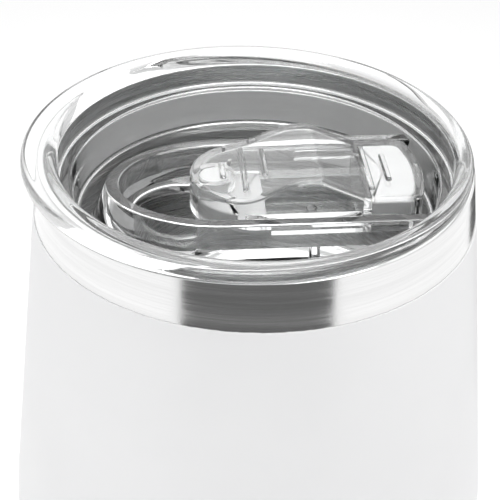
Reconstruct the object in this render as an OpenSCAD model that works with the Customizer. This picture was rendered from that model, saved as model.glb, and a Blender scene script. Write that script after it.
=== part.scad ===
// Insulated stemless tumbler with a clear slide-to-open lid.
// Origin at the centre of the standing ring, +Z up, -X towards the drinking hole.

/* [Cup] */
// Height of the steel cup, without its lid
cup_h = 113; // [105:0.5:125]
// Outside radius of the steel at the rim
rim_r = 36.7; // [34:0.1:40]
// Largest outside radius of the body
belly_r = 44.1; // [42.5:0.1:48]
// Height of the largest radius above the table
belly_z = 35; // [28:0.5:42]
// Radius of the curve above the belly
upper_curve_r = 143; // [110:1:170]
// Radius of the curve below the belly
lower_curve_r = 60; // [50:1:70]
// Radius of the rounded edge at the foot
foot_fillet = 4; // [3:0.25:6]
// Inside radius of the standing ring
foot_in_r = 26; // [22:0.25:28]
// Radius of the rounded edge of the rim
rim_round = 0.5; // [0.3:0.05:0.7]
// Sheet thickness of the outer wall
wall_t = 0.8; // [0.6:0.05:1]
// Sheet thickness of the inner liner
liner_t = 0.5; // [0.4:0.05:0.7]
// Width of the vacuum gap beside the belly
vacuum_gap = 2.5; // [2:0.1:3.5]
// Height of the drinking floor above the table
liner_floor_z = 7.5; // [7:0.25:12]
// Radius of the curve between drinking floor and side
liner_fillet = 10; // [7:0.5:13]
// Height of the bare steel band under the rim
band_h = 8.5; // [6:0.25:14]
// Thickness of the powder coat
coat_t = 0.2; // [0.15:0.05:0.3]
// Thickness of the copper foil round the liner
foil_t = 0.15; // [0.1:0.05:0.25]

/* [Base] */
// Thickness of the welded base disc
base_t = 0.8; // [0.6:0.05:1]
// Thickness of the cover plate under the base
plate_t = 0.5; // [0.4:0.05:0.6]
// Radius of the evacuation hole
evac_hole_r = 1.2; // [0.8:0.1:1.6]
// Radius of the getter pellet
getter_r = 3; // [2:0.1:4]
// Thickness of the getter pellet
getter_t = 1.4; // [1:0.1:1.8]

/* [Lid] */
// How far the lid's bead stands out past the rim
bead_overhang = 1.1; // [0.8:0.1:2]
// How far the bead is set towards the drinking side, for a thumb to lift it
bead_offset = 1.5; // [0:0.1:1.6]
// Height of the bead above the rim
bead_h = 2.7; // [2.5:0.1:3.2]
// Depth of the lid's floor below the rim
well_depth = 9.9; // [9:0.1:13]
// Depth of the ledge below the rim
ledge_depth = 3; // [2.4:0.1:3.6]
// Thickness of the lid's floor
lid_floor_t = 2; // [1.6:0.1:2.6]
// Thickness of the wall above the ledge
upper_wall_t = 1.8; // [1.5:0.1:2.2]
// Thickness of the wall behind the gasket
lower_wall_t = 1.9; // [1.6:0.1:2.3]
// Width of the ledge
ledge_w = 2; // [1.6:0.1:2.4]
// Gap between the lid or its gasket and the liner
liner_clearance = 0.15; // [0.1:0.05:0.3]
// Radial thickness of the gasket's body
gasket_t = 1.2; // [0.9:0.1:1.3]
// Height of each sealing fin
fin_h = 1.3; // [1:0.1:1.6]

/* [Channel] */
// Depth of the channel's top below the rim
channel_depth = 4.2; // [3.8:0.1:4.6]
// Gap between the channel's closed end and the foot of the well's wall
channel_gap = 5.1; // [4:0.1:6]
// Length of the channel's rounded end, inside
channel_nose = 18; // [16:0.5:22]
// Half width of the channel, inside
channel_hw = 12; // [11.8:0.1:12.5]
// Thickness of the channel's wall at its top
channel_wall_t = 2.2; // [1.8:0.1:2.6]
// How much thicker the channel's wall is at its foot
channel_foot = 2.4; // [1.5:0.1:2.8]
// How far each retaining lip reaches over the slider's wing
lip_reach = 1.3; // [1.1:0.1:1.5]
// Thickness of each retaining lip
lip_t = 1; // [0.8:0.1:1.3]
// Length of the lips
lip_len = 19.5; // [16:0.5:20]
// Radius of the vent hole
vent_r = 1; // [0.8:0.1:1.3]

/* [Slider] */
// Distance the slider travels from open to shut
travel = 11.3; // [10:0.1:12]
// Gap between the slider's side and each retaining lip
slider_side_gap = 0.8; // [0.5:0.1:1.1]
// Length of the slider's rounded nose
slider_nose = 10.5; // [9.5:0.25:14]
// Gap between the open slider's rear end and the foot of the well's wall
slider_rear_gap = 1.9; // [1.2:0.1:3]
// Depth of the nose's top below the rim
nose_top_depth = 2.3; // [2:0.1:3]
// Height of the thumb crest above the nose's top
crest_rise = 3.5; // [2.8:0.1:4.5]
// Depth of the rear thumb pad below the rim
rear_top_depth = 2.6; // [2.2:0.1:3.2]
// Wall thickness of the slider
slider_wall_t = 1.4; // [1.1:0.1:1.7]
// Thickness of the slider's top skin
slider_skin_t = 1.2; // [1:0.1:1.5]
// Gap between each wing and the channel's wall
wing_gap = 0.4; // [0.3:0.05:0.5]
// Thickness of each wing
wing_t = 1.2; // [1:0.1:1.5]
// Thickness of the stopper's sealing foot, under the nose
seal_foot_t = 1; // [0.8:0.1:1.2]
// Radius of the stopper's stem
stem_r = 2.5; // [2:0.1:2.8]
// Width of each grip rib
grip_w = 1.1; // [0.9:0.1:1.5]
// Height of each grip rib
grip_h = 0.6; // [0.3:0.05:0.7]

/* [Hidden] */
$fn = 128;
arc_steps = 16;
slack = 0.05;         // gap between pieces that are assembled by hand
run_gap = 0.1;        // gap between pieces that slide on each other
foot_bare = 0.6;      // height of the bare steel at the foot
cut = 1;              // how far a cutting shape runs past what it cuts
far_out = 60;         // further from the axis than anything on the lid

function arc(c, r, a0, a1, n = arc_steps) =
    [for (i = [0:n]) let (a = a0 + (a1 - a0) * i / n) [c[0] + r * cos(a), c[1] + r * sin(a)]];
function reversed(p) = [for (i = [len(p) - 1:-1:0]) p[i]];

// Side of the cup: two arcs that share the belly's tangent, and a straight taper up to the rim.
low_c = [belly_r - lower_curve_r, belly_z];
up_c = [belly_r - upper_curve_r, belly_z];
rim_dx = rim_r - up_c[0];
rim_dz = cup_h - belly_z;
taper = atan2(rim_dz, rim_dx) - acos(upper_curve_r / norm([rim_dx, rim_dz]));
function corner_x(off, z, fil) = low_c[0] + sqrt(pow(lower_curve_r - off - fil, 2) - pow(belly_z - z - fil, 2));
function low_angle(off, z, fil) = atan2(z + fil - belly_z, corner_x(off, z, fil) - low_c[0]);
function taper_x(off, z) = up_c[0] + ((upper_curve_r - off) - (z - belly_z) * sin(taper)) / cos(taper);
function taper_z(off, x) = belly_z + ((upper_curve_r - off) - (x - up_c[0]) * cos(taper)) / sin(taper);
function corner(off, z, fil) = arc([corner_x(off, z, fil), z + fil], fil, -90, low_angle(off, z, fil), 8);
function belly(off, a0, a1 = taper) =
    concat(arc(low_c, lower_curve_r - off, a0, 0), arc(up_c, upper_curve_r - off, 0, a1, 8));

// Offsets of each surface from the outside of the steel.
liner_out = wall_t + vacuum_gap;
liner_in = liner_out + liner_t;
mouth_r = rim_r - wall_t / cos(taper) - liner_t;
mouth_round = 0.6 * liner_t;
paint_z = cup_h - band_h;

module outer_wall() {
    rim_c = [taper_x(rim_round, cup_h - rim_round), cup_h - rim_round];
    outside = concat([[foot_in_r, 0]], corner(0, 0, foot_fillet), belly(0, low_angle(0, 0, foot_fillet)),
        arc(rim_c, rim_round, taper, 90, 6));
    inside = concat([[foot_in_r, wall_t]], corner(wall_t, wall_t, foot_fillet - wall_t),
        belly(wall_t, low_angle(0, 0, foot_fillet)), [[taper_x(wall_t, cup_h), cup_h]]);
    color([0.78, 0.79, 0.8]) rotate_extrude() polygon(concat(outside, reversed(inside)));
}

module powder_coat() {
    // The coat starts a little way up the rounded foot and ends at the paint line.
    fil = foot_fillet + coat_t;
    foot_a = asin((foot_bare - foot_fillet) / foot_fillet);
    centre = [corner_x(0, 0, foot_fillet), foot_fillet];
    top_a = low_angle(0, 0, foot_fillet);
    inside = concat(arc(centre, foot_fillet, foot_a, top_a, 6), belly(0, top_a), [[taper_x(0, paint_z), paint_z]]);
    outside = concat(arc(centre, fil, foot_a, top_a, 6), belly(-coat_t, top_a),
        [[taper_x(-coat_t, paint_z), paint_z]]);
    color([0.93, 0.93, 0.93]) rotate_extrude() polygon(concat(outside, reversed(inside)));
}

module inner_liner() {
    out_z = liner_floor_z - liner_t;
    out_fil = liner_fillet + liner_t;
    inside = concat([[0, liner_floor_z]], corner(liner_in, liner_floor_z, liner_fillet),
        belly(liner_in, low_angle(liner_in, liner_floor_z, liner_fillet)),
        [[mouth_r, taper_z(liner_in, mouth_r)]],
        arc([mouth_r + mouth_round, cup_h - mouth_round], mouth_round, 180, 90, 6));
    outside = concat([[0, out_z]], corner(liner_out, out_z, out_fil),
        belly(liner_out, low_angle(liner_out, out_z, out_fil)),
        [[mouth_r + liner_t, taper_z(liner_out, mouth_r + liner_t)], [mouth_r + liner_t, cup_h]]);
    color([0.72, 0.73, 0.74]) rotate_extrude() polygon(concat(outside, reversed(inside)));
}

module copper_foil() {
    // Wrapped on the liner's outside, from the lower curve to just under its straight neck.
    foil_a = -18;
    neck_gap = 3;
    foil_top = taper_z(liner_out, mouth_r + liner_t) - neck_gap;
    inside = concat(belly(liner_out, foil_a), [[taper_x(liner_out, foil_top), foil_top]]);
    outside = concat(belly(liner_out - foil_t, foil_a), [[taper_x(liner_out - foil_t, foil_top), foil_top]]);
    color([0.8, 0.45, 0.3]) rotate_extrude() polygon(concat(outside, reversed(inside)));
}

// The base disc lies on the turned-in foot; its middle is pressed up round the evacuation hole.
base_z = wall_t;
dimple_rise = 1;
dimple_r = 4.5;
module outer_base() {
    r = corner_x(0, 0, foot_fillet) - slack;
    color([0.7, 0.71, 0.72]) rotate_extrude() polygon([[evac_hole_r, base_z + dimple_rise],
        [dimple_r - dimple_rise, base_z + dimple_rise], [dimple_r, base_z], [r, base_z], [r, base_z + base_t],
        [dimple_r + base_t / 2, base_z + base_t],
        [dimple_r - dimple_rise + base_t / 2, base_z + base_t + dimple_rise],
        [evac_hole_r, base_z + base_t + dimple_rise]]);
}

module vacuum_seal() {
    // Solder glass: a flat drop under the hole with a neck that fills it.
    drop_r = 2.6;
    drop_t = 0.7;
    top = base_z + dimple_rise;
    color([0.35, 0.3, 0.25]) union() {
        translate([0, 0, top]) cylinder(r = evac_hole_r, h = base_t);
        translate([0, 0, top - drop_t]) cylinder(r1 = drop_r * 0.8, r2 = drop_r, h = drop_t);
    }
}

// The getter hangs in a small cup under the liner's floor.
getter_x = 13;
holder_t = 0.3;
module getter_holder() {
    floor_z = liner_floor_z - liner_t;
    color([0.6, 0.6, 0.62]) translate([getter_x, 0, floor_z - getter_t - holder_t]) difference() {
        cylinder(r = getter_r + holder_t, h = getter_t + holder_t);
        translate([0, 0, holder_t]) cylinder(r = getter_r, h = getter_t + cut);
        translate([0, 0, -cut]) cylinder(r = getter_r * 0.7, h = holder_t + 2 * cut);
    }
}

module getter_pellet() {
    color([0.3, 0.3, 0.32]) translate([getter_x, 0, liner_floor_z - liner_t - getter_t])
        cylinder(r = getter_r, h = getter_t);
}

module base_plate() {
    color([0.75, 0.76, 0.77]) translate([0, 0, base_z - plate_t]) cylinder(r = foot_in_r - 4 * slack, h = plate_t);
}

// Lid: a bead that rests on the rim, a wall that steps in at a ledge, and a flat floor.
lid_z = cup_h + slack;
bead_r = rim_r + bead_overhang;
plug_r = mouth_r - 2 * liner_clearance;
well_top_r = plug_r - upper_wall_t;
ledge_in_r = well_top_r - ledge_w;
well_draft = 0.9;     // how far the well's wall leans in below the ledge
flange_reach = 0.9;   // how far the plug's foot reaches under the gasket
bite = 0.7;           // how far a moulded rib runs into the wall behind it
groove_r = ledge_in_r + lower_wall_t;
floor_r = ledge_in_r - well_draft;
floor_z = cup_h - well_depth;
ledge_z = cup_h - ledge_depth;
floor_under = floor_z - lid_floor_t;
web_t = 1.5;
groove_top = ledge_z - web_t;
channel_z = cup_h - channel_depth;
foot_flange_t = 1;
flange_r = groove_r + flange_reach;
bead_round = 1.2;
well_round = 1.8;     // radius of the well's top edge
slab_t = 0.07;        // thickness of each slice that the channel's wall is stretched between

function tongue(tip, nose, hw, end) = concat([[end, hw]],
    [for (i = [0:24]) let (a = 90 + 7.5 * i) [tip + nose + nose * cos(a), hw * sin(a)]], [[end, -hw]]);

// The slider runs between the channel's closed end and the well's wall. It is drawn open.
channel_tip = floor_r - channel_gap - channel_wall_t;
tip_gap = 0.6;        // between the shut slider's nose and the channel's closed end
nose_x = travel + tip_gap - channel_tip;
slider_rear_r = floor_r - slider_rear_gap;
slider_hw = channel_hw - lip_reach - slider_side_gap;
wing_reach = channel_hw - wing_gap - slider_hw;
function along(share) = nose_x + share * (slider_rear_r - nose_x);
wing_x0 = along(0.4836);
wing_x1 = along(0.8615);
bulkhead_x = along(0.7154);
lip_lead = 0.5;       // how far behind the shut wing's front end each lip starts
lip_x0 = wing_x0 - travel + lip_lead;

// Drinking hole: a D shape inset from the slider's shut nose, that ends just under the open one.
hole_inset = 1.4;
seal_margin = 1;      // how far the shut stopper's foot covers past the hole
hole_tip = nose_x - travel + hole_inset;
hole_lap = 0.6;       // how far the hole runs on under the open slider's nose
hole_end = nose_x + hole_lap;
vent_cover = 1.5;     // how far the shut slider's rear stopper covers past the vent hole
vent_x = bulkhead_x + slider_wall_t - travel + vent_r + vent_cover;

module lid_plug() {
    rotate_extrude() polygon([[0, floor_under], [flange_r, floor_under], [flange_r, floor_under + foot_flange_t],
        [groove_r, floor_under + foot_flange_t], [groove_r, groove_top], [plug_r, groove_top], [plug_r, lid_z + cut],
        [0, lid_z + cut]]);
}

module lid_bead() {
    top = cup_h + bead_h;
    r = bead_r - bead_round;
    translate([-bead_offset, 0, 0]) rotate_extrude() polygon(concat([[0, lid_z]],
        arc([r, lid_z + bead_round], bead_round, -90, 0, 8), arc([r, top - bead_round], bead_round, 0, 90, 8),
        [[0, top]]));
}

module lid_well() {
    top = cup_h + bead_h;
    rotate_extrude() polygon(concat([[0, top + cut], [well_top_r + well_round, top + cut]],
        arc([well_top_r + well_round, top - well_round], well_round, 90, 180, 8),
        [[well_top_r, ledge_z], [ledge_in_r, ledge_z], [floor_r, floor_z], [0, floor_z]]));
}

module lid_dish() {
    difference() {
        union() {
            lid_plug();
            lid_bead();
        }
        lid_well();
    }
}

module channel_slab(lean, z, end) {
    // A thin slice of the channel's outline, lean wider all round than at the top.
    translate([0, 0, z]) linear_extrude(slab_t) polygon(tongue(-channel_tip - channel_wall_t - lean,
        channel_nose + channel_wall_t + lean, channel_hw + channel_wall_t + lean, end));
}

module channel_wall() {
    // Upright inside, and leaning out to a thicker foot outside.
    far = ledge_in_r + bite;
    intersection() {
        difference() {
            hull() {
                channel_slab(channel_foot, floor_z - bite, far + cut);
                channel_slab(0, channel_z - slab_t, far + cut);
            }
            translate([0, 0, floor_z - cut]) linear_extrude(channel_z - floor_z + 2 * cut)
                polygon(tongue(-channel_tip, channel_nose, channel_hw, far + 2 * cut));
        }
        translate([0, 0, floor_z - cut]) cylinder(r = far, h = channel_z - floor_z + 2 * cut);
    }
}

module lip(side) {
    y0 = channel_hw - lip_reach;
    translate([lip_x0, side > 0 ? y0 : -channel_hw - cut, channel_z - lip_t]) cube([lip_len, lip_reach + cut, lip_t]);
}

module lid_body() {
    color([0.85, 0.88, 0.9, 0.4]) difference() {
        union() {
            lid_dish();
            channel_wall();
            for (side = [-1, 1]) lip(side);
        }
        translate([0, 0, floor_under - cut]) linear_extrude(lid_floor_t + 2 * cut) intersection() {
            polygon(tongue(hole_tip, slider_nose - hole_inset, slider_hw - hole_inset, 0));
            translate([hole_tip - cut, -slider_hw]) square([hole_end - hole_tip + cut, 2 * slider_hw]);
        }
        translate([vent_x, 0, floor_under - cut]) cylinder(r = vent_r, h = lid_floor_t + 2 * cut);
    }
}

module lid_gasket() {
    // Ring in the groove, with two fins that reach out to the liner and slope upwards.
    gap = run_gap / 2;
    in_r = groove_r + gap;
    body_r = in_r + gasket_t;
    fin_r = mouth_r - liner_clearance;
    low_z = floor_under + foot_flange_t + gap;
    top_z = groove_top - gap;
    pitch = (top_z - low_z) / 2;
    fin_root = 0.4;
    fin_t = 0.7;
    function fin(z) = [[body_r, z + fin_root], [fin_r, z + fin_h], [fin_r, z + fin_h + fin_t],
        [body_r, z + fin_h + fin_root]];
    color([0.95, 0.95, 0.95]) rotate_extrude() polygon(concat([[in_r, low_z], [body_r, low_z]], fin(low_z),
        fin(low_z + pitch), [[body_r, top_z], [in_r, top_z]]));
}

// Slider, drawn open. Its bottom runs just above the lid's floor.
slide_z = floor_z + run_gap;
nose_z = cup_h - nose_top_depth;
crest_z = nose_z + crest_rise;
rear_z = cup_h - rear_top_depth;
rise_x0 = along(0.1813);
rise_x1 = along(0.481);
crest_x = along(0.534);
pad_x = along(0.736);
slope_a = atan2(crest_rise, rise_x1 - rise_x0);

function rise(x) = nose_z + crest_rise * (1 - cos(180 * (x - rise_x0) / (rise_x1 - rise_x0))) / 2;
function top_line(drop) = concat([[-far_out, nose_z - drop]],
    [for (i = [0:14]) let (x = rise_x0 + (rise_x1 - rise_x0) * i / 14) [x, rise(x) - drop]],
    [[crest_x, crest_z - drop], [pad_x, rear_z - drop], [far_out, rear_z - drop]]);

module slider_plan(inset) {
    intersection() {
        polygon(tongue(nose_x + inset, slider_nose - inset, slider_hw - inset, far_out));
        circle(r = slider_rear_r - inset);
    }
}

module under_top(drop) {
    // Everything below the slider's top line, sunk by drop.
    w = slider_hw + cut;
    translate([0, w, 0]) rotate([90, 0, 0]) linear_extrude(2 * w)
        polygon(concat([[-far_out, slide_z - 2 * cut]], top_line(drop), [[far_out, slide_z - 2 * cut]]));
}

module slider_core(inset, drop, z0) {
    intersection() {
        translate([0, 0, z0]) linear_extrude(crest_z - z0 + cut) slider_plan(inset);
        under_top(drop);
    }
}

stem_inset = 4.1;     // from the slider's nose to the middle of the stem
block_len = 7.5;      // from the slider's nose to the back of the stopper's block
block_h = 4.2;
stem_x = nose_x + stem_inset;
boss_wall = 1.2;
stem_top = nose_z - slider_skin_t;
body_top = slide_z + block_h;
wing_top = channel_z - lip_t - 4 * run_gap;
foot_end = hole_end + travel + seal_margin;
foot_inset = 0.3;     // how far the sealing foot stands in from the slider's nose
long_grip = slider_hw - 2.7;
mid_grip = slider_hw - 5.5;
short_grip = slider_hw - 7.3;
grip_tilt = 8;        // slope of the rise where the second rib stands

module grip(x, half, z, tilt) {
    translate([x, 0, z]) rotate([0, -tilt, 0]) translate([-grip_w / 2, -half, -grip_h])
        cube([grip_w, 2 * half, 2 * grip_h]);
}

module slider_body() {
    color([0.88, 0.9, 0.92, 0.4]) union() {
        difference() {
            slider_core(0, 0, slide_z);
            slider_core(slider_wall_t, slider_skin_t, slide_z - cut);
            // the nose stands on the stopper's sealing foot
            translate([-far_out, -far_out, slide_z - cut])
                cube([foot_end + slack + far_out, 2 * far_out, cut + seal_foot_t + slack]);
        }
        // boss for the stopper's stem
        translate([stem_x, 0, body_top + slack]) difference() {
            cylinder(r = stem_r + boss_wall, h = stem_top - body_top);
            translate([0, 0, -cut]) cylinder(r = stem_r + slack, h = stem_top - body_top + cut - slack);
        }
        // wall that carries the rear stopper
        intersection() {
            translate([bulkhead_x, -slider_hw, slide_z]) cube([slider_wall_t, 2 * slider_hw, crest_z - slide_z]);
            slider_core(slider_wall_t / 2, slider_skin_t / 2, slide_z);
        }
        for (side = [-1, 1])
            translate([wing_x0, side > 0 ? slider_hw - bite : -slider_hw - wing_reach, wing_top - wing_t])
                cube([wing_x1 - wing_x0, wing_reach + bite, wing_t]);
        grip(along(0.1385), short_grip, nose_z, 0);
        grip(along(0.2266), long_grip, rise(along(0.2266)), grip_tilt);
        grip(along(0.3125), mid_grip, rise(along(0.3125)), slope_a + grip_tilt);
        grip(along(0.757), long_grip, rear_z, 0);
        grip(along(0.839), mid_grip, rear_z, 0);
    }
}

module drink_stopper() {
    // White block inside the nose, a sealing foot under the nose, and a stem up into the boss.
    gap = slider_wall_t + slack;
    block_end = nose_x + block_len;
    color("white") union() {
        translate([0, 0, slide_z]) linear_extrude(body_top - slide_z) intersection() {
            slider_plan(gap);
            translate([-far_out, -far_out]) square([block_end + far_out, 2 * far_out]);
        }
        translate([0, 0, slide_z]) linear_extrude(seal_foot_t) intersection() {
            slider_plan(foot_inset);
            translate([-far_out, -far_out]) square([foot_end + far_out, 2 * far_out]);
        }
        translate([stem_x, 0, slide_z + cut]) cylinder(r = stem_r, h = stem_top - slide_z - cut - slack);
    }
}

module vent_stopper() {
    // White block behind the bulkhead, under the rear thumb pad.
    color("white") intersection() {
        slider_core(slider_wall_t + slack, slider_skin_t + slack, slide_z + slack);
        translate([bulkhead_x + slider_wall_t + slack, -far_out, 0]) cube([far_out, 2 * far_out, crest_z]);
    }
}

outer_wall();
powder_coat();
inner_liner();
copper_foil();
outer_base();
vacuum_seal();
getter_holder();
getter_pellet();
base_plate();
lid_body();
lid_gasket();
slider_body();
drink_stopper();
vent_stopper();
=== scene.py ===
import math

import bmesh
import bpy
import numpy as np
from mathutils import Matrix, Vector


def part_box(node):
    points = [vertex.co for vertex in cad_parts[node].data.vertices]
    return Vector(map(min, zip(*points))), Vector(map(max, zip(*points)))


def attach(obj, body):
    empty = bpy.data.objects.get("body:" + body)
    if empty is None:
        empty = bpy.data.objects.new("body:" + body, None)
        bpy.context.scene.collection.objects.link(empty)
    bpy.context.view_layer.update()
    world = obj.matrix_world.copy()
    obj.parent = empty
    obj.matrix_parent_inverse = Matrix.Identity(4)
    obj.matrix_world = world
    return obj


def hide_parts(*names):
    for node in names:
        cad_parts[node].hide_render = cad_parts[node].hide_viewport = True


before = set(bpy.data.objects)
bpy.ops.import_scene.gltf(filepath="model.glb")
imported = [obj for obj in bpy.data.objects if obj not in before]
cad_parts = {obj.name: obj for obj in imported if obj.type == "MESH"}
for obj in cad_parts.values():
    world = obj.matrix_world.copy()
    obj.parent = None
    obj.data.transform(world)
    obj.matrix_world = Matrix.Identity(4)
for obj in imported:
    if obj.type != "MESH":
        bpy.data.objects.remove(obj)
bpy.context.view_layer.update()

mm = 0.001
slack = 0.05 * mm  # gap between pieces that are assembled by hand
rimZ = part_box("outer_wall")[1].z  # height of the steel's rim, which every lid height is counted from
print("frame loaded, rim at", round(rimZ / mm, 2), "mm")


def roundedLine(corners, steps=6, support=0.12 * mm):
    # A corner of radius r becomes the arc c + r (cos a, sin a) tangent to both sides; straight runs
    # get a point a little way in from each end, so that their shading stays flat.
    line = []
    count = len(corners)
    for i, (x, y, r) in enumerate(corners):
        p = np.array([x, y], float)
        before = np.array(corners[i - 1][:2], float) - p
        after = np.array(corners[(i + 1) % count][:2], float) - p
        if r <= 0:
            line.append(p[None])
            continue
        a, b = before / np.linalg.norm(before), after / np.linalg.norm(after)
        half = math.acos(np.clip(a @ b, -1, 1)) / 2
        cut = r / math.tan(half)
        centre = p + (a + b) / np.linalg.norm(a + b) * r / math.sin(half)
        start, end = p + a * cut - centre, p + b * cut - centre
        turn = math.atan2(start[0] * end[1] - start[1] * end[0], start @ end)
        angle = np.linspace(0, turn, steps + 1)[:, None]
        line.append(centre + start * np.cos(angle) + np.array([-start[1], start[0]]) * np.sin(angle))
    points = np.concatenate(line)
    return withSupport(points, support)


def withSupport(points, gap):
    # Adds p + gap d and q - gap d to each straight run p to q that is longer than 4 gaps.
    following = np.roll(points, -1, 0)
    run = following - points
    length = np.linalg.norm(run, axis=1, keepdims=True)
    step = run / np.maximum(length, 1e-9) * gap
    rows = np.stack([points, points + step, following - step], 1)
    keep = np.stack([np.ones(len(points), bool), length[:, 0] > 4 * gap, length[:, 0] > 4 * gap], 1)
    return rows[keep]


def arcLine(centre, radius, start, end, count):
    # centre + radius (cos a, sin a), with a from start to end in degrees.
    a = np.radians(np.linspace(start, end, count))
    return np.stack([centre[0] + radius * np.cos(a), centre[1] + radius * np.sin(a)], 1)


def offsetLine(points, gap):
    # p + gap n, with n the outward normal of a closed line that runs anticlockwise.
    tangent = np.roll(points, -1, 0) - np.roll(points, 1, 0)
    normal = np.stack([tangent[:, 1], -tangent[:, 0]], 1)
    return points + gap * normal / np.maximum(np.linalg.norm(normal, axis=1, keepdims=True), 1e-9)


def gridMesh(name, grid, wrapU=True, wrapV=False, sharp=35):
    # The surface grid[v, u] = (x, y, z) as quads; rows that shrink to a point or a line are merged shut.
    rows, columns = grid.shape[:2]
    v, u = np.meshgrid(np.arange(rows if wrapV else rows - 1), np.arange(columns if wrapU else columns - 1),
                       indexing="ij")
    v, u = v.ravel(), u.ravel()
    v1, u1 = (v + 1) % rows, (u + 1) % columns
    corners = np.stack([v * columns + u, v * columns + u1, v1 * columns + u1, v1 * columns + u], 1)
    return rawMesh(name, grid.reshape(-1, 3), corners, sharp)


def rawMesh(name, points, quads, sharp=35):
    # A mesh object from the points and the four corners of each face.
    mesh = bpy.data.meshes.new(name)
    mesh.vertices.add(len(points))
    mesh.vertices.foreach_set("co", np.asarray(points, np.float32).ravel())
    mesh.loops.add(quads.size)
    mesh.loops.foreach_set("vertex_index", quads.astype(np.int32).ravel())
    mesh.polygons.add(len(quads))
    mesh.polygons.foreach_set("loop_start", np.arange(0, quads.size, 4, dtype=np.int32))
    mesh.update(calc_edges=True)
    piece = bpy.data.objects.new(name, mesh)
    bpy.context.scene.collection.objects.link(piece)
    tidyMesh(piece, sharp)
    return piece


def tidyMesh(piece, sharp=35, merge=0.002 * mm):
    # Merges doubles, closes the poles, turns every face outwards and marks the sharp edges.
    work = bmesh.new()
    work.from_mesh(piece.data)
    bmesh.ops.remove_doubles(work, verts=work.verts, dist=merge)
    bmesh.ops.dissolve_degenerate(work, edges=work.edges, dist=merge / 4)
    loose = [e for e in work.edges if not e.link_faces]
    bmesh.ops.delete(work, geom=loose, context="EDGES")
    bmesh.ops.recalc_face_normals(work, faces=work.faces)
    work.to_mesh(piece.data)
    work.free()
    piece.data.shade_smooth()
    piece.data.set_sharp_from_angle(angle=math.radians(sharp))


def revolved(name, profile, turns=288, shift=None, ripple=None, sharp=35):
    # (r cos t - shift, r sin t, z) for each point (r, z) of the profile and each angle t.
    t = np.linspace(0, 2 * np.pi, turns, endpoint=False)
    r, z = profile[:, :1], profile[:, 1:]
    x0 = np.zeros_like(r) if shift is None else shift[:, None]
    closed = profile[0, 0] > 1e-6
    height = z + np.zeros_like(t) if ripple is None else z + ripple(t, z)
    grid = np.stack([r * np.cos(t) - x0, r * np.sin(t) + 0 * x0, height], 2)
    return gridMesh(name, grid, True, closed, sharp)


def stacked(name, rings, heights, sharp=35):
    # Outlines laid over each other: ring k at height z_k, with both ends drawn in to their middle.
    flat = [np.concatenate([ring, np.broadcast_to(np.reshape(z, (-1, 1)), (len(ring), 1))], 1)
            for ring, z in zip(rings, heights)]
    ends = [np.repeat(row.mean(0, keepdims=True), len(row), 0) for row in (flat[0], flat[-1])]
    grid = np.stack([ends[0], *flat, ends[1]])
    return gridMesh(name, grid, True, False, sharp)


def softStack(name, outline, low, high, r, steps=5, sharp=35):
    # A slab from low to high whose top and bottom edges have radius r: offset r (cos a - 1), height r sin a.
    a = np.linspace(0, np.pi / 2, steps + 1)
    gaps = np.concatenate([r * (np.sin(a) - 1), r * (np.cos(a) - 1)])
    zs = np.concatenate([low + r * (1 - np.cos(a)), high - r * (1 - np.sin(a))])
    return stacked(name, [offsetLine(outline, g) for g in gaps], zs, sharp)


def capsule(name, start, end, r, around=20):
    # Points at r from the line start to end: a tube with half-sphere ends.
    start, end = np.array(start, float), np.array(end, float)
    axis = (end - start) / np.linalg.norm(end - start)
    side = np.cross(axis, [0, 0, 1.0])
    side /= np.linalg.norm(side)
    up = np.cross(side, axis)
    a = np.concatenate([np.linspace(-np.pi / 2, 0, 8), np.linspace(0, np.pi / 2, 8)])[:, None, None]
    t = np.linspace(0, 2 * np.pi, around, endpoint=False)[None, :, None]
    base = np.where(np.arange(16)[:, None, None] < 8, start, end)
    grid = base + r * (np.sin(a) * axis + np.cos(a) * (np.cos(t) * side + np.sin(t) * up))
    return gridMesh(name, grid)


def joined(base, others, operation="UNION"):
    # Makes base one solid with others, or cuts them out of it, and removes them.
    for other in others:
        step = base.modifiers.new("join", "BOOLEAN")
        step.operation, step.solver, step.object = operation, "MANIFOLD", other
        bpy.context.view_layer.update()
        made = bpy.data.meshes.new_from_object(base.evaluated_get(bpy.context.evaluated_depsgraph_get()))
        base.modifiers.clear()
        old = base.data
        base.data = made
        bpy.data.meshes.remove(old)
        bpy.data.objects.remove(other)
    return base


def settled(piece, body, slot, material, *nodes):
    # Gives a finished piece its material and its body, and hides the CAD nodes that it stands for.
    piece.data.materials.clear()
    piece.data.materials.append(material)
    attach(piece, body)
    if nodes:
        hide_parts(*nodes)
    print("made", piece.name, len(piece.data.vertices), "points")
    return piece


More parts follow.
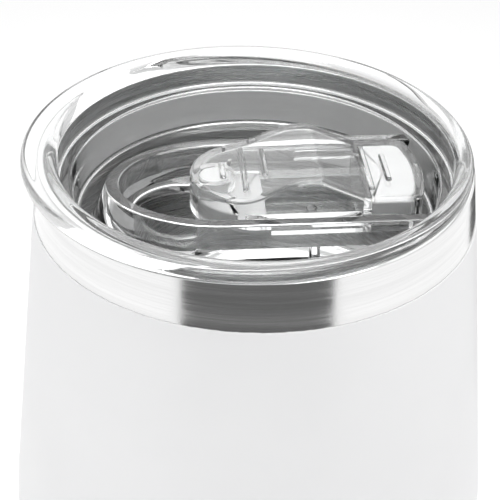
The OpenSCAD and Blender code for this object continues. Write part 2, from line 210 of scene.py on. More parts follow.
class Nodes:
    # Short calls for building a node tree.

    def __init__(self, name):
        self.material = bpy.data.materials.new(name)
        self.material.use_nodes = True
        self.tree = self.material.node_tree
        self.shader = self.tree.nodes["Principled BSDF"]
        self.coords = self.add("ShaderNodeTexCoord")

    def add(self, kind, **values):
        node = self.tree.nodes.new(kind)
        for key, value in values.items():
            if hasattr(node, key):
                setattr(node, key, value)
            else:
                node.inputs[key.replace("_", " ")].default_value = value
        return node

    def link(self, source, target):
        self.tree.links.new(source, target)

    def scaled(self, scale, turn=(0, 0, 0)):
        mapping = self.add("ShaderNodeMapping")
        mapping.inputs["Scale"].default_value = scale
        mapping.inputs["Rotation"].default_value = turn
        self.link(self.coords.outputs["Object"], mapping.inputs["Vector"])
        return mapping.outputs["Vector"]

    def noise(self, scale, detail=3, rough=0.5, size=1.0, turn=(0, 0, 0)):
        node = self.add("ShaderNodeTexNoise")
        node.inputs["Scale"].default_value = size
        node.inputs["Detail"].default_value = detail
        node.inputs["Roughness"].default_value = rough
        self.link(self.scaled(scale, turn), node.inputs["Vector"])
        return node.outputs["Fac"]

    def spread(self, source, low, high, fromLow=0.3, fromHigh=0.7):
        node = self.add("ShaderNodeMapRange")
        for key, value in (("From Min", fromLow), ("From Max", fromHigh), ("To Min", low), ("To Max", high)):
            node.inputs[key].default_value = value
        self.link(source, node.inputs["Value"])
        return node.outputs["Result"]

    def ramp(self, source, stops):
        node = self.add("ShaderNodeValToRGB")
        ramp = node.color_ramp
        while len(ramp.elements) < len(stops):
            ramp.elements.new(0.5)
        for element, (place, colour) in zip(ramp.elements, stops):
            element.position = place
            element.color = (*colour, 1)
        self.link(source, node.inputs["Fac"])
        return node.outputs["Color"]

    def bump(self, source, strength, distance):
        node = self.add("ShaderNodeBump")
        node.inputs["Strength"].default_value = strength
        node.inputs["Distance"].default_value = distance
        self.link(source, node.inputs["Height"])
        self.link(node.outputs["Normal"], self.shader.inputs["Normal"])

    def set(self, **values):
        for key, value in values.items():
            self.shader.inputs[key.replace("_", " ")].default_value = value


def brushedSteel(name, tone, shine, grain=1.0, paintedShadeSpan=None):
    # Fine lines round the axis: noise that is drawn out along the circle and tight along Z.
    # The last argument gives the heights between which the steel goes from dark to bright: painted shade, darker
    # towards the bottom of the cup.
    n = Nodes(name)
    fine = n.noise((45, 45, 5200), 4, 0.65)
    broad = n.noise((12, 12, 900), 3, 0.5)
    both = n.add("ShaderNodeMath", operation="MULTIPLY_ADD")
    n.link(fine, both.inputs[0])
    both.inputs[1].default_value = 0.7
    n.link(n.spread(broad, 0, 0.3), both.inputs[2])
    low, high = tone
    colour = n.ramp(both.outputs[0], [(0.3, (low,) * 3), (0.7, (high,) * 3)])
    if paintedShadeSpan is not None:
        # Painted shade: the colour is scaled from 0.7 at the lower height up to 1 at the upper one.
        axes, paintedShade = n.add("ShaderNodeSeparateXYZ"), n.add("ShaderNodeVectorMath", operation="SCALE")
        n.link(n.coords.outputs["Object"], axes.inputs[0])
        n.link(colour, paintedShade.inputs[0])
        n.link(n.spread(axes.outputs["Z"], 0.7, 1.0, *paintedShadeSpan), paintedShade.inputs["Scale"])
        colour = paintedShade.outputs[0]
    n.link(colour, n.shader.inputs["Base Color"])
    n.link(n.spread(both.outputs[0], shine[0], shine[1]), n.shader.inputs["Roughness"])
    n.set(Metallic=1.0, Anisotropic=0.5, Anisotropic_Rotation=0.25)
    tangent = n.add("ShaderNodeTangent", direction_type="RADIAL", axis="Z")
    n.link(tangent.outputs[0], n.shader.inputs["Tangent"])
    n.bump(both.outputs[0], 0.25 * grain, 0.00003)
    return n.material


def powderCoat():
    # Satin white with a very fine pebble and a slightly uneven gloss.
    n = Nodes("powder_coat_white")
    pebble = n.noise((2600, 2600, 2600), 2, 0.5)
    tint = n.noise((25, 25, 25), 3, 0.5)
    n.link(n.ramp(tint, [(0.3, (0.83, 0.83, 0.835)), (0.7, (0.86, 0.86, 0.865))]), n.shader.inputs["Base Color"])
    n.link(n.spread(pebble, 0.42, 0.52), n.shader.inputs["Roughness"])
    n.set(Specular_IOR_Level=0.35)
    n.bump(pebble, 0.12, 0.00004)
    return n.material


def clearPlastic(name, haze=(0.0, 0.02), tint=(0.985, 0.99, 0.99), wave=0.06):
    # Clear moulded plastic with faint flow waves and a trace of rubbing on its gloss.
    n = Nodes(name)
    flow = n.noise((90, 90, 220), 2, 0.4)
    rub = n.noise((700, 700, 700), 3, 0.6)
    n.link(n.spread(rub, haze[0], haze[1], 0.45, 0.8), n.shader.inputs["Roughness"])
    n.set(Base_Color=(*tint, 1), Transmission_Weight=1.0, IOR=1.5)
    n.bump(flow, wave, 0.0002)
    return n.material


def silicone(name, colour, rough=(0.38, 0.5), glow=0.0):
    # Soft moulded silicone: even colour, satin, with a fine matt grain. glow makes it give off light of its own
    # colour, though it is no lamp: painted light.
    n = Nodes(name)
    grain = n.noise((1800, 1800, 1800), 2, 0.5)
    tint = n.noise((120, 120, 120), 2, 0.5)
    dark = tuple(c * 0.965 for c in colour)
    n.link(n.ramp(tint, [(0.35, dark), (0.65, colour)]), n.shader.inputs["Base Color"])
    n.link(n.spread(grain, rough[0], rough[1]), n.shader.inputs["Roughness"])
    # The emission is painted light, not a lamp.
    n.set(IOR=1.41, Emission_Color=(*colour, 1), Emission_Strength=glow)
    n.bump(grain, 0.08, 0.00004)
    return n.material


def metal(name, colour, rough, lines, strength):
    # Plain metal, its colour and gloss broken up by one noise that is stretched by lines.
    n = Nodes(name)
    grain = n.noise(lines, 4, 0.6)
    dark = tuple(c * 0.8 for c in colour)
    n.link(n.ramp(grain, [(0.3, dark), (0.7, colour)]), n.shader.inputs["Base Color"])
    n.link(n.spread(grain, rough[0], rough[1]), n.shader.inputs["Roughness"])
    n.set(Metallic=1.0)
    n.bump(grain, strength, 0.00005)
    return n.material


def fusedGlass(name):
    # Dark glass that has run and set: glossy, with duller patches.
    n = Nodes(name)
    n.set(Base_Color=(0.08, 0.065, 0.05, 1))
    n.link(n.spread(n.noise((900, 900, 900)), 0.08, 0.3), n.shader.inputs["Roughness"])
    return n.material


bandSteel = brushedSteel("band_steel", (0.74, 0.84), (0.13, 0.24))
# The liner's colour carries painted shade, darker towards the bottom of the cup.
linerSteel = brushedSteel("liner_steel", (0.72, 0.82), (0.2, 0.34), 0.6, (rimZ - 60 * mm, rimZ - 12 * mm))
discSteel = brushedSteel("disc_steel", (0.55, 0.62), (0.25, 0.4), 1.5)
coatWhite = powderCoat()
clearLid = clearPlastic("clear_lid", tint=(0.93, 0.935, 0.935))
clearSlider = clearPlastic("clear_slider", (0.0, 0.03), (0.95, 0.955, 0.955))
whiteSilicone = silicone("white_silicone_block", (0.9, 0.9, 0.9))
# The ring gives off a faint light of its own: painted light that brightens it where it lies in the lid's shade.
clearSilicone = silicone("clear_silicone_ring", (0.93, 0.93, 0.93), glow=0.08)
copperFoil = metal("copper_foil_sheet", (0.78, 0.42, 0.28), (0.2, 0.35), (300, 300, 60), 0.4)
getterMetal = metal("getter_sinter", (0.22, 0.22, 0.24), (0.55, 0.75), (4000, 4000, 4000), 0.6)
solderGlass = fusedGlass("solder_glass_drop")
print("materials ready")


cup = {
    "rimR": 36.7 * mm, "bellyR": 44.1 * mm, "bellyZ": 35 * mm, "upperCurve": 143 * mm, "lowerCurve": 60 * mm,
    "footFillet": 4 * mm, "footInside": 26 * mm, "wall": 0.8 * mm, "vacuum": 2.5 * mm, "liner": 0.5 * mm,
    "linerFloor": 7.5 * mm, "linerFillet": 10 * mm, "band": 8.5 * mm, "coat": 0.2 * mm,
    "footBare": 0.6 * mm, "rimRound": 0.5 * mm, "mouthRound": 0.3 * mm,
    "edgeWave": 0.022 * mm,  # how far the coat's top edge wanders
}
lowC = (cup["bellyR"] - cup["lowerCurve"], cup["bellyZ"])
upC = (cup["bellyR"] - cup["upperCurve"], cup["bellyZ"])
reach = (cup["rimR"] - upC[0], rimZ - cup["bellyZ"])
taper = math.atan2(reach[1], reach[0]) - math.acos(cup["upperCurve"] / math.hypot(*reach))
paintZ = rimZ - cup["band"]


def taperX(inset, z):
    # Radius at height z of the straight side, inset from the steel's outside.
    return upC[0] + (cup["upperCurve"] - inset - (z - upC[1]) * math.sin(taper)) / math.cos(taper)


def taperZ(inset, x):
    # Height at which the straight side, inset from the steel's outside, has radius x.
    return upC[1] + (cup["upperCurve"] - inset - (x - upC[0]) * math.cos(taper)) / math.sin(taper)


def footCentre(inset, z, r):
    # Centre of the foot's fillet of radius r, which touches the floor at z and the lower curve from inside.
    across = math.sqrt((cup["lowerCurve"] - inset - r) ** 2 - (cup["bellyZ"] - z - r) ** 2)
    return lowC[0] + across, z + r


def cupSide(inset, z, r, topZ, fine=30):
    # From the floor up: fillet, lower curve, upper curve and straight side to topZ.
    centre = footCentre(inset, z, r)
    join = math.degrees(math.atan2(centre[1] - lowC[1], centre[0] - lowC[0]))
    top = math.degrees(taper)
    straight = np.linspace(0, 1, 12)[1:, None]
    upper = arcLine(upC, cup["upperCurve"] - inset, 0, top, 14)
    end = np.array([taperX(inset, topZ), topZ])
    return np.concatenate([arcLine(centre, r, -90, join, 12)[:-1],
                           arcLine(lowC, cup["lowerCurve"] - inset, join, 0, fine)[:-1], upper,
                           upper[-1] + (end - upper[-1]) * straight])


def makeOuterWall():
    # Outside and inside of one drawn sheet, with a rounded rim and a turned-in foot.
    rimRound, wall, fillet = cup["rimRound"], cup["wall"], cup["footFillet"]
    outside = cupSide(0, 0, fillet, rimZ - rimRound)
    centre = (taperX(rimRound, rimZ - rimRound), rimZ - rimRound)
    lip = arcLine(centre, rimRound, math.degrees(taper), 90, 8)
    inside = cupSide(wall, wall, fillet - wall, rimZ)[::-1]
    edge = arcLine((cup["footInside"] + wall / 2, wall / 2), wall / 2, -90, -270, 8)
    edge[:, 0] = np.maximum(edge[:, 0], cup["footInside"])
    profile = np.concatenate([outside[:-1], lip, inside, edge[::-1]])
    return settled(revolved("outer_wall_steel", profile, 320), "tumbler", "brushed_steel", bandSteel, "outer_wall")


def makeCoat():
    # A thin skin on the wall's outside. Its top edge wanders by a few hundredths of a millimetre.
    coat, fillet = cup["coat"], cup["footFillet"]
    out = cupSide(-coat, -coat, fillet + coat, paintZ)
    inner = cupSide(0, 0, fillet, paintZ)
    out, inner = out[out[:, 1] > cup["footBare"]], inner[inner[:, 1] > cup["footBare"]]
    top = out[-1] + (inner[-1] - out[-1]) * np.array([[0.35], [0.8]]) + np.array([[0, 0.05 * mm], [0, 0.07 * mm]])
    profile = np.concatenate([out, top, inner[::-1]])

    def ragged(t, z):
        near = np.clip((z - paintZ + 0.4 * mm) / (0.4 * mm), 0, 1)
        wave = np.sin(37 * t + 1) + 0.8 * np.sin(83 * t + 2) + 0.6 * np.sin(151 * t) + 0.5 * np.sin(211 * t + 4)
        return near * wave * cup["edgeWave"]
    return settled(revolved("white_powder_coat", profile, 480, ripple=ragged), "tumbler", "white_coat", coatWhite,
                   "powder_coat")


linerOut = cup["wall"] + cup["vacuum"]
mouthR = cup["rimR"] - cup["wall"] / math.cos(taper) - cup["liner"]


def makeLiner():
    # A drawn inner cup: flat floor, round corner, belly, and a straight neck up to the rim.
    t, r = cup["liner"], cup["mouthRound"]
    neck = taperZ(linerOut + t, mouthR)
    inside = cupSide(linerOut + t, cup["linerFloor"], cup["linerFillet"], neck)
    outside = cupSide(linerOut, cup["linerFloor"] - t, cup["linerFillet"] + t, taperZ(linerOut, mouthR + t))
    lip = arcLine((mouthR + r, rimZ - r), r, 180, 90, 6)
    lines = np.linspace(0, 1, 5)[1:-1, None]
    rise = inside[-1] + (lip[0] - inside[-1]) * lines
    fall = np.array([mouthR + t, rimZ]) + (outside[-1] - np.array([mouthR + t, rimZ])) * lines
    floor = np.linspace(0, 1, 8)[:-1, None] * inside[0] * [1, 0] + [0, cup["linerFloor"]]
    under = np.linspace(1, 0, 8)[1:, None] * outside[0] * [1, 0] + [0, cup["linerFloor"] - t]
    profile = np.concatenate([floor, inside, rise, lip, [[mouthR + t, rimZ]], fall, outside[::-1], under])
    return settled(revolved("liner_steel_cup", profile, 256), "tumbler", "brushed_steel", linerSteel, "inner_liner")


def makeBasePlate():
    # A pressed plate with a rounded rim and two shallow rings.
    low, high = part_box("base_plate")
    r, pressed, bend = high.x, low.z + 0.12 * mm, 0.3 * mm
    corners = [(0, low.z, 0), (0.32 * r, low.z, 0), (0.36 * r, pressed, bend), (0.62 * r, pressed, bend),
               (0.66 * r, low.z, bend), (r, low.z, 0.2 * mm), (r, high.z, 0.1 * mm), (0, high.z, 0)]
    return settled(revolved("base_cover_plate", roundedLine(corners, 5), 160), "tumbler", "brushed_steel", discSteel,
                   "base_plate")


makeOuterWall()
makeCoat()
makeLiner()
makeBasePlate()
for node, finish in (("copper_foil", copperFoil), ("outer_base", discSteel), ("vacuum_seal", solderGlass),
                     ("getter_holder", discSteel), ("getter_pellet", getterMetal)):
    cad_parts[node].data.materials.clear()
    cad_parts[node].data.materials.append(finish)
print("cup ready")


lid = {
    "beadOffset": 1.5 * mm, "beadR": 37.8 * mm, "beadH": 2.7 * mm, "beadRound": 1.2 * mm, "wellRound": 1.8 * mm,
    "wellDepth": 9.9 * mm, "ledgeDepth": 3 * mm, "floor": 2 * mm, "upperWall": 1.8 * mm, "lowerWall": 1.9 * mm,
    "ledge": 2 * mm, "plugGap": 0.3 * mm, "web": 1.5 * mm, "flange": 1 * mm,
    "draft": 0.9 * mm,  # how far the well's wall leans in below the ledge
    "flangeReach": 0.9 * mm,  # how far the plug's foot reaches under the gasket
}
plugR = mouthR - lid["plugGap"]
wellR = plugR - lid["upperWall"]
ledgeR = wellR - lid["ledge"]
grooveR = ledgeR + lid["lowerWall"]
floorR = ledgeR - lid["draft"]
floorZ = rimZ - lid["wellDepth"]
underZ = floorZ - lid["floor"]
ledgeZ = rimZ - lid["ledgeDepth"]
grooveZ = ledgeZ - lid["web"]
flangeR = grooveR + lid["flangeReach"]
gasket = {"finGap": 0.15 * mm, "body": 1.2 * mm, "finRoot": 0.4 * mm, "finRise": 1.3 * mm, "fin": 0.7 * mm}
channel = {"gap": 5.1 * mm, "nose": 18 * mm, "half": 12 * mm, "wall": 2.2 * mm, "foot": 2.4 * mm, "depth": 4.2 * mm,
           "lipReach": 1.3 * mm, "lip": 1 * mm, "lipLead": 0.5 * mm, "lipLength": 19.5 * mm, "vent": 1 * mm,
           "edge": 0.45 * mm, "ventCover": 1.5 * mm, "bite": 0.7 * mm, "sink": 0.8 * mm,
           "reach": 29.2 * mm}  # the drawn length of the arms, before they are fitted to the dish
slider = {"travel": 11.3 * mm, "tipGap": 0.6 * mm, "rearGap": 1.9 * mm, "sideGap": 0.8 * mm, "wingGap": 0.4 * mm,
          "nose": 10.5 * mm, "noseDepth": 2.3 * mm, "crest": 3.5 * mm, "rearDepth": 2.6 * mm, "wall": 1.4 * mm,
          "skin": 1.2 * mm, "wingT": 1.2 * mm, "edge": 0.7 * mm, "gap": 0.1 * mm, "stem": 2.5 * mm, "boss": 1.2 * mm,
          "holeInset": 1.4 * mm, "holeLap": 0.6 * mm, "sealFoot": 1 * mm, "sealMargin": 1 * mm,
          "stemInset": 4.1 * mm, "block": 7.5 * mm, "blockH": 4.2 * mm, "rib": 0.55 * mm, "corner": 1.6 * mm,
          "spineEnd": 24 * mm, "wingDrop": 0.4 * mm,
          # each rib's place along the slider, and how far it stops short of the side in mm
          "ribs": ((0.1385, 7.3), (0.2266, 2.7), (0.3125, 5.5), (0.757, 2.7), (0.839, 5.5))}
channelZ = rimZ - channel["depth"]
channelTip = floorR - channel["gap"] - channel["wall"]
noseX = slider["travel"] + slider["tipGap"] - channelTip
rearR = floorR - slider["rearGap"]
sliderHalf = channel["half"] - channel["lipReach"] - slider["sideGap"]


def along(share):
    # A place along the slider: noseX + share (rearR - noseX), from 0 at its nose to 1 at its rear end.
    return noseX + share * (rearR - noseX)


riseStart, riseEnd, crestX, padX, bulkheadX = along(0.1813), along(0.481), along(0.534), along(0.736), along(0.7154)
wingStart, wingEnd = along(0.4836), along(0.8615)
lipStart = wingStart - slider["travel"] + channel["lipLead"]
ventX = bulkheadX + slider["wall"] - slider["travel"] + channel["vent"] + channel["ventCover"]
holeEnd = noseX + slider["holeLap"]
footEnd = holeEnd + slider["travel"] + slider["sealMargin"]
stemX = noseX + slider["stemInset"]


def tongueLine(tip, nose, half, count=49):
    # Half an ellipse, (tip + nose + nose cos a, half sin a), from the left side round to the right.
    a = np.radians(np.linspace(90, 270, count))
    return np.stack([tip + nose + nose * np.cos(a), half * np.sin(a)], 1)


def makeDish():
    # The lid's round part. The bead's circles are centred a little towards the drinking side.
    top, foot = rimZ + lid["beadH"], rimZ + slack
    b, w = lid["beadRound"], lid["wellRound"]
    corners = [(0, underZ, 0), (flangeR, underZ, 0.3 * mm), (flangeR, underZ + lid["flange"], 0.2 * mm),
               (grooveR, underZ + lid["flange"], 0.2 * mm), (grooveR, grooveZ, 0.2 * mm), (plugR, grooveZ, 0.3 * mm),
               (plugR, foot, 0.12 * mm), (lid["beadR"], foot, b), (lid["beadR"], top, b), (wellR, top, w),
               (wellR, ledgeZ, 0.35 * mm), (ledgeR, ledgeZ, 0.4 * mm), (floorR, floorZ, 0.7 * mm), (0, floorZ, 0)]
    profile = roundedLine(corners, 9)
    flat = lid["beadR"] - b - wellR - w
    outer = 0.97 * np.clip((profile[:, 0] - wellR - w) / flat, 0, 1)
    high = profile[:, 1] > foot - 0.01 * mm
    return revolved("clear_lid_body", profile, 256, shift=outer * high * lid["beadOffset"], sharp=50)


def makeChannelWall():
    # A wall profile, upright inside and leaning out outside, carried along the U: p(s) + n(s) across, z up.
    wall, lean = channel["wall"], channel["foot"]
    nose = tongueLine(-channelTip, channel["nose"], channel["half"], 97)
    far = ledgeR + channel["bite"]
    arm = np.linspace(channel["reach"], nose[0, 0], 40)[:-1]
    path = np.concatenate([np.stack([arm, 0 * arm + channel["half"]], 1), nose,
                           np.stack([arm[::-1], 0 * arm - channel["half"]], 1)])
    step = np.gradient(path, axis=0)
    normal = np.stack([step[:, 1], -step[:, 0]], 1) / np.linalg.norm(step, axis=1, keepdims=True)
    foot = floorZ - channel["sink"]
    corners = [(0, foot, 0), (0, channelZ, channel["edge"]), (wall, channelZ, channel["edge"]),
               (wall + lean, floorZ, 0.6 * mm), (wall + lean, foot, 0)]
    across = roundedLine(corners, 7)
    grid = np.empty((len(path), len(across), 3))
    grid[..., :2] = path[:, None] + normal[:, None] * across[None, :, :1]
    grid[..., 2] = across[None, :, 1]
    # both arms end on a circle inside the dish's wall
    start = nose[0, 0]
    stretch = (np.sqrt(far ** 2 - grid[..., 1] ** 2) - start) / (arm[0] - start)
    grid[..., 0] = np.where(grid[..., 0] > start, start + (grid[..., 0] - start) * stretch, grid[..., 0])
    caps = [np.repeat(grid[i].mean(0)[None, None], len(across), 1) for i in (0, -1)]
    return gridMesh("channel_wall", np.concatenate([caps[0], grid, caps[1]]))


def makeLip(side):
    # A flat rounded bar that reaches inwards from the channel's wall, over the slider's wing.
    outer, inner = channel["half"] + channel["bite"], channel["half"] - channel["lipReach"]
    x0, x1 = lipStart, lipStart + channel["lipLength"]
    plan = roundedLine([(x0, inner, 0.4 * mm), (x1, inner, 0.4 * mm), (x1, outer, 0.2 * mm),
                        (x0, outer, 0.2 * mm)], 5)
    if side < 0:
        plan = plan[::-1] * [1, -1]
    return softStack("lip", plan, channelZ - channel["lip"], channelZ + 0.02 * mm, 0.3 * mm)


def makeHole():
    # A D-shaped cutter whose mouth flares, so the hole gets rounded edges.
    inset = slider["holeInset"]
    tip, end = noseX - slider["travel"] + inset, holeEnd
    nose, half = slider["nose"] - inset, sliderHalf - inset
    a = np.linspace(math.acos((end - tip - nose) / nose), 2 * np.pi - math.acos((end - tip - nose) / nose), 61)
    bow = np.stack([tip + nose + nose * np.cos(a), half * np.sin(a)], 1)
    edge = np.linspace(bow[-1], bow[0], 16)[1:-1]
    plan = np.concatenate([bow, edge])
    r = 0.4 * mm
    s = np.linspace(0, np.pi / 2, 6)
    gaps = np.concatenate([[r], r * (1 - np.sin(s)), r * (1 - np.cos(s)), [r]])
    zs = np.concatenate([[underZ - mm], underZ + r * (1 - np.cos(s)), floorZ - r * (1 - np.sin(s)), [floorZ + mm]])
    return stacked("hole", [offsetLine(plan, g) for g in gaps], zs)


def makeLidBody():
    # The dish joined with the channel's wall and lips, less the drinking hole and a round vent.
    body = makeDish()
    joined(body, [makeChannelWall(), makeLip(1), makeLip(-1)])
    t = np.linspace(0, 2 * np.pi, 40, endpoint=False)
    vent = channel["vent"] * np.stack([np.cos(t), np.sin(t)], 1) + [ventX, 0]
    ventCut = stacked("vent", [vent, vent], [underZ - mm, floorZ + mm])
    joined(body, [makeHole(), ventCut], "DIFFERENCE")
    tidyMesh(body, 40)
    return settled(body, "lid", "clear_plastic", clearLid, "lid_body")


def makeGasket():
    # A soft ring with two rounded fins that lean upwards.
    inner, finR = grooveR + slack, mouthR - gasket["finGap"]
    body = inner + gasket["body"]
    low, top = underZ + lid["flange"] + slack, grooveZ - slack
    pitch = (top - low) / 2
    root, rise, fin = gasket["finRoot"], gasket["finRise"], gasket["fin"]
    corners = [(inner, low, 0.2 * mm), (body, low, 0.1 * mm)]
    for z in (low, low + pitch):
        corners += [(body, z + root, 0.3 * mm), (finR, z + rise, 0.25 * mm), (finR, z + rise + fin, 0.25 * mm),
                    (body, z + rise + root, 0.4 * mm)]
    corners += [(body, top, 0.2 * mm), (inner, top, 0.2 * mm)]
    return settled(revolved("gasket_ring", roundedLine(corners, 5, 0.05 * mm), 256), "lid", "clear_silicone",
                   clearSilicone, "lid_gasket")


makeLidBody()
makeGasket()
print("lid ready")


slideZ = floorZ + slider["gap"]
noseZ = rimZ - slider["noseDepth"]
rearZ = rimZ - slider["rearDepth"]
wingZ = channelZ - channel["lip"] - slider["wingDrop"]


def topHeight(x):
    # Flat nose, half a cosine up to the crest, a straight fall, and the flat rear pad.
    up = noseZ + slider["crest"] * (1 - np.cos(np.pi * np.clip((x - riseStart) / (riseEnd - riseStart), 0, 1))) / 2
    return np.where(x < crestX, up, np.interp(x, [crestX, padX], [noseZ + slider["crest"], rearZ]))


def smoothTop(x, r=0.35 * mm):
    # topHeight averaged over 2 r, which rounds the crest and the valley.
    steps = np.linspace(-r, r, 9)
    return np.mean([topHeight(x + s) for s in steps], 0)


def sliderPlan(inset, count=84):
    # The slider from above, anticlockwise: rear arc, left side, nose, right side.
    half, rear, corner = sliderHalf - inset, rearR - inset, slider["corner"]
    swing = math.asin((half - corner) / (rear - corner))
    middle = (rear - corner) * math.cos(swing), half - corner
    back = arcLine((0, 0), rear, math.degrees(-swing), math.degrees(swing), 33)
    turn = arcLine(middle, corner, math.degrees(swing), 90, 9)[1:]
    nose = tongueLine(noseX + inset, slider["nose"] - inset, half, 65)
    keys = np.array([riseEnd, crestX, padX])
    side = np.linspace(nose[0, 0], middle[0], count)[1:-1]
    side = np.sort(np.concatenate([side, keys, keys - 0.12 * mm, keys + 0.12 * mm]))[::-1]
    left = np.stack([side, 0 * side + half], 1)
    return np.concatenate([back, turn, left, nose, left[::-1] * [1, -1], turn[::-1] * [1, -1]])


def sliderRings(plan, low, drop, edge, steps=6, shrink=26):
    # Rings up the wall, over an edge of radius edge, and in across the top to a line along the middle.
    x0, x1 = noseX + slider["nose"], slider["spineEnd"]
    spine = np.stack([np.clip(plan[:, 0], x0, x1), 0 * plan[:, 0]], 1)
    rings = []
    top = smoothTop(plan[:, 0]) - drop
    for s in np.linspace(0, 1, 9):
        rings.append(np.column_stack([plan, low + s * (top - edge - low)]))
    for a in np.linspace(0, np.pi / 2, steps + 1)[1:]:
        ring = offsetLine(plan, edge * (np.cos(a) - 1))
        rings.append(np.column_stack([ring, smoothTop(ring[:, 0]) - drop - edge * (1 - np.sin(a))]))
    inner = offsetLine(plan, -edge)
    for s in np.linspace(0, 1, shrink)[1:]:
        ring = inner + s * (spine - inner)
        rings.append(np.column_stack([ring, smoothTop(ring[:, 0]) - drop]))
    return rings


def makeSliderShell():
    # One closed sheet: across the hollow's ceiling, down its wall, under the bottom edge and up the outside.
    outer = sliderRings(sliderPlan(0), slideZ, 0, slider["edge"])
    inner = sliderRings(sliderPlan(slider["wall"]), slideZ, slider["skin"], 0.4 * mm)
    return gridMesh("slider_shell", np.stack(inner[::-1] + outer), True, False, 50)


def makeSlider():
    # The shell joined with its boss, bulkhead, wings and ribs, less the stem's bore and room for the foot.
    body = makeSliderShell()
    t = np.linspace(0, 2 * np.pi, 48, endpoint=False)
    circle = np.stack([np.cos(t), np.sin(t)], 1)
    bodyTop = slideZ + slider["blockH"]
    outer = circle * (slider["stem"] + slider["boss"]) + [stemX, 0]
    boss = stacked("boss", [outer, outer], [bodyTop + slack, noseZ - slider["skin"] / 2])
    bore = circle * (slider["stem"] + slack) + [stemX, 0]
    boreCut = stacked("bore", [bore, bore], [bodyTop - mm, noseZ - slider["skin"]])
    half = sliderHalf - slider["wall"] / 2
    plate = roundedLine([(bulkheadX, -half, 0), (bulkheadX + slider["wall"], -half, 0),
                         (bulkheadX + slider["wall"], half, 0), (bulkheadX, half, 0)])
    bulkTop = float(smoothTop(np.array([bulkheadX + 0.4 * mm]))[0]) - slider["skin"] / 2
    bulkhead = stacked("bulkhead", [plate, plate], [slideZ, bulkTop])
    parts = [boss, bulkhead]
    for side in (1, -1):
        y0, y1 = sliderHalf - 0.5 * mm, channel["half"] - slider["wingGap"]
        plan = roundedLine([(wingStart, y0, 0), (wingEnd, y0, 0), (wingEnd, y1, 0.5 * mm),
                            (wingStart, y1, 0.5 * mm)], 5)
        if side < 0:
            plan = plan[::-1] * [1, -1]
        parts.append(softStack("wing", plan, wingZ - slider["wingT"], wingZ, 0.25 * mm))
    for share, shorter in slider["ribs"]:
        x, y = along(share), sliderHalf - shorter * mm - slider["rib"]
        z = float(smoothTop(np.array([x]))[0])
        parts.append(capsule("rib", (x, -y, z), (x, y, z), slider["rib"]))
    joined(body, parts)
    under = sliderPlan(-mm)  # the outline, moved 1 mm outwards
    under[:, 0] = np.minimum(under[:, 0], footEnd + slack)
    footCut = stacked("foot_cut", [under, under], [slideZ - mm, slideZ + slider["sealFoot"] + slack])
    joined(body, [boreCut, footCut], "DIFFERENCE")
    tidyMesh(body, 40)
    return settled(body, "slider", "clear_plastic", clearSlider, "slider_body")


def makeDrinkStopper():
    # A block that fills the hollow nose, a thin foot behind it, and a round stem up into the boss.
    plan = sliderPlan(slider["wall"] + slack)
    low, high = slideZ + slack, slideZ + slider["blockH"]

    def upTo(end):
        clipped = plan.copy()
        clipped[:, 0] = np.minimum(clipped[:, 0], end)
        keep = np.linalg.norm(clipped - np.roll(clipped, 1, 0), axis=1) > 0.01 * mm
        return clipped[keep]
    block = softStack("white_nose_stopper", upTo(noseX + slider["block"]), low, high, 0.35 * mm)
    plan = sliderPlan(0.3 * mm)
    foot = softStack("foot", upTo(footEnd), slideZ, slideZ + slider["sealFoot"], 0.25 * mm)
    t = np.linspace(0, 2 * np.pi, 48, endpoint=False)
    stemPlan = slider["stem"] * np.stack([np.cos(t), np.sin(t)], 1) + [stemX, 0]
    stem = softStack("stem", stemPlan, slideZ + mm, noseZ - slider["skin"] - slack, 0.3 * mm)
    joined(block, [foot, stem])
    tidyMesh(block)
    return settled(block, "slider", "white_silicone", whiteSilicone, "drink_stopper")


def makeVentStopper():
    # The white block under the rear pad, inset from the hollow on every side.
    gap = slider["wall"] + slack
    start = bulkheadX + gap
    plan = sliderPlan(gap)
    plan[:, 0] = np.maximum(plan[:, 0], start)
    keep = np.linalg.norm(plan - np.roll(plan, 1, 0), axis=1) > 0.01 * mm
    top = rearZ - slider["skin"] - slack
    block = softStack("white_rear_block", plan[keep], slideZ + slack, top, 0.4 * mm)
    return settled(block, "slider", "white_silicone", whiteSilicone, "vent_stopper")


makeSlider()
makeDrinkStopper()
makeVentStopper()
print("slider ready")


viewTurn = -6.0  # degrees that the camera stands round from the lid's side
view = {
    "pitch": 33.9, "roll": 1.3, "distance": 260 * mm, "across": -0.67 * mm, "lift": -16.67 * mm,
    "aimOver": 1.5 * mm, "lens": 111.6,
}
studio = {
    "around": 0.8, "overhead": 4.0, "overheadSize": 0.28, "overheadZ": 0.42,
    "sky": 1.6, "skyHalf": 42, "skyLow": 0.3, "skyHigh": 0.75,  # bright card behind, that the lid's top shows
    "front": 0.15, "frontHalf": 33, "frontMiddle": 2.0,  # dark card, the grey middle of the steel band
    "side": 1.15, "sideHalf": 54,  # white cards, the band's bright sides
    "back": 0.1, "backHalf": 46, "backMiddle": 172,  # dark card, the band's dark edge
}


def plainMaterial(name, colour, glow=None):
    # Even matt colour, or, with glow, an even light.
    n = Nodes(name)
    n.set(Base_Color=(*colour, 1), Roughness=0.9)
    if glow is not None:
        n.set(Emission_Color=(glow, glow, glow, 1), Emission_Strength=1.0, Base_Color=(0, 0, 0, 1),
              Specular_IOR_Level=0.0)
    return n.material


def makeFloor():
    # A flat square, its sides size either way, that reaches past the view.
    size = 3.0
    corners = np.array([[[-size, -size, 0], [size, -size, 0]], [[-size, size, 0], [size, size, 0]]])
    floor = gridMesh("floor", corners, False, False)
    if floor.data.polygons[0].normal.z < 0:
        floor.data.flip_normals()
    floor.data.materials.append(plainMaterial("pale_floor", (0.95, 0.95, 0.95)))


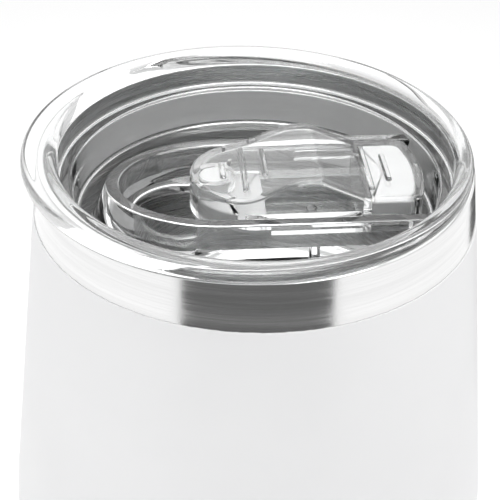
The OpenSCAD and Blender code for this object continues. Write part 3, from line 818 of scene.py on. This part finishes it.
def card(name, middle, half, low, high, radius, glow, through=False):
    # A curved card round the cup, (radius sin a, -radius cos a, z). Only reflections show it, or, with
    # through, the view through clear plastic as well.
    a = np.radians(np.linspace(middle - half, middle + half, 24))
    z = np.linspace(low, high, 2)[:, None]
    grid = np.stack([radius * np.sin(a) + 0 * z, -radius * np.cos(a) + 0 * z, z + 0 * a], 2)
    piece = gridMesh(name, grid, False, False)
    piece.data.materials.append(plainMaterial(name + "_face", (0, 0, 0), glow))
    piece.visible_camera = piece.visible_diffuse = piece.visible_shadow = False
    piece.visible_transmission = through


def areaLight(name, place, target, size, power):
    # A rectangular light at place that faces target.
    light = bpy.data.objects.new(name, bpy.data.lights.new(name, "AREA"))
    light.data.shape, light.data.size, light.data.size_y, light.data.energy = "RECTANGLE", *size, power
    light.location = place
    away = np.array(place) - np.array(target)
    light.rotation_euler = (math.acos(away[2] / np.linalg.norm(away)), 0, math.atan2(away[1], away[0]) + math.pi / 2)
    bpy.context.scene.collection.objects.link(light)
    light.visible_camera = False


def makeWorld():
    # The camera sees plain white; the cup is lit a little less than that from all round.
    world = bpy.data.worlds.new("studio")
    bpy.context.scene.world = world
    world.use_nodes = True
    tree = world.node_tree
    soft = tree.nodes["Background"]
    soft.inputs["Color"].default_value = (1, 1, 1, 1)
    soft.inputs["Strength"].default_value = studio["around"]
    plain = tree.nodes.new("ShaderNodeBackground")
    plain.inputs["Color"].default_value = (1, 1, 1, 1)
    path, both = tree.nodes.new("ShaderNodeLightPath"), tree.nodes.new("ShaderNodeMixShader")
    tree.links.new(path.outputs["Is Camera Ray"], both.inputs[0])
    tree.links.new(soft.outputs[0], both.inputs[1])
    tree.links.new(plain.outputs[0], both.inputs[2])
    tree.links.new(both.outputs[0], tree.nodes["World Output"].inputs["Surface"])


def makeStudio():
    # The world, the floor, one soft light above, and the cards that the steel and the lid reflect.
    makeWorld()
    makeFloor()
    width = studio["overheadSize"]
    power = studio["overhead"] * math.pi * width * width
    areaLight("overhead", (0, 0, studio["overheadZ"]), (0, 0, 0), (width, width), power)
    card("sky_card", viewTurn + 180, studio["skyHalf"], studio["skyLow"], studio["skyHigh"], 0.5, studio["sky"], True)
    card("front_card", viewTurn + studio["frontMiddle"], studio["frontHalf"], 0.0, 0.22, 0.17, studio["front"])
    card("back_card", viewTurn + studio["backMiddle"], studio["backHalf"], 0.0, 0.11, 0.12, studio["back"])
    for side in (-1, 1):
        middle = viewTurn + studio["frontMiddle"] + side * (studio["frontHalf"] + studio["sideHalf"])
        card("side_card", middle, studio["sideHalf"], 0.0, 0.2, 0.17, studio["side"])
    scene = bpy.context.scene
    scene.view_settings.view_transform = "Standard"
    scene.cycles.max_bounces = 36
    scene.cycles.transmission_bounces = 32
    scene.cycles.glossy_bounces = 12


def makeCamera():
    # Stands off from the lid along the line of sight, with a slight roll.
    pitch, roll, turn = math.radians(view["pitch"]), math.radians(view["roll"]), math.radians(viewTurn)
    ahead = np.array([0, math.cos(pitch), -math.sin(pitch)])
    right, up = np.array([1.0, 0, 0]), np.array([0, math.sin(pitch), math.cos(pitch)])
    aim = np.array([0, 0, rimZ + view["aimOver"]])
    place = -view["distance"] * ahead + view["across"] * right + view["lift"] * up + aim
    right, up = (math.cos(roll) * right + math.sin(roll) * up, math.cos(roll) * up - math.sin(roll) * right)
    spin = np.array([[math.cos(turn), -math.sin(turn), 0], [math.sin(turn), math.cos(turn), 0], [0, 0, 1]])
    axes = spin @ np.column_stack([right, up, -ahead])
    camera = bpy.data.objects.new("camera", bpy.data.cameras.new("camera"))
    camera.data.lens, camera.data.sensor_width = view["lens"], 36
    camera.data.clip_start = 0.01
    pose = np.eye(4)
    pose[:3, :3] = axes
    pose[:3, 3] = spin @ place
    camera.matrix_world = Matrix(pose.tolist())
    bpy.context.scene.collection.objects.link(camera)
    bpy.context.scene.camera = camera


makeStudio()
makeCamera()
